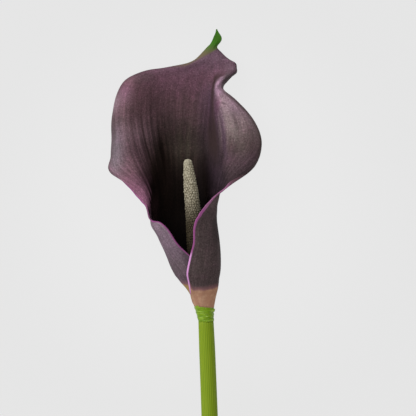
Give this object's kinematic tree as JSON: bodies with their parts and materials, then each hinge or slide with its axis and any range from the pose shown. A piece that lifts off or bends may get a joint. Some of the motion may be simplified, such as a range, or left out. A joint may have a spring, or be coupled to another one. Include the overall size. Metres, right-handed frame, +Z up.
{
  "type": "calla lily flower",
  "caption": "Cut calla lily lying down: a rolled, flaring dark spathe with a green tip round a pale finger-like spadix, bound with tape to a ribbed green stem.",
  "frame": {"origin": "on the table under the middle of the flower and stem as they lie", "axes": "+Y along the stem towards the flower's green tip, +X towards its right lobe, +Z up, out of the open side"},
  "size_m": [0.0692, 0.3605, 0.0362],
  "materials": {
    "spathe": "satin, soft",
    "spadix": "matt, grained",
    "tape": "waxy",
    "stem": "satin, ribbed"
  },
  "bodies": {
    "root": {"spathe": "spathe", "spadix": "spadix", "tape": "tape", "stem": "stem"}
  },
  "joints": []
}
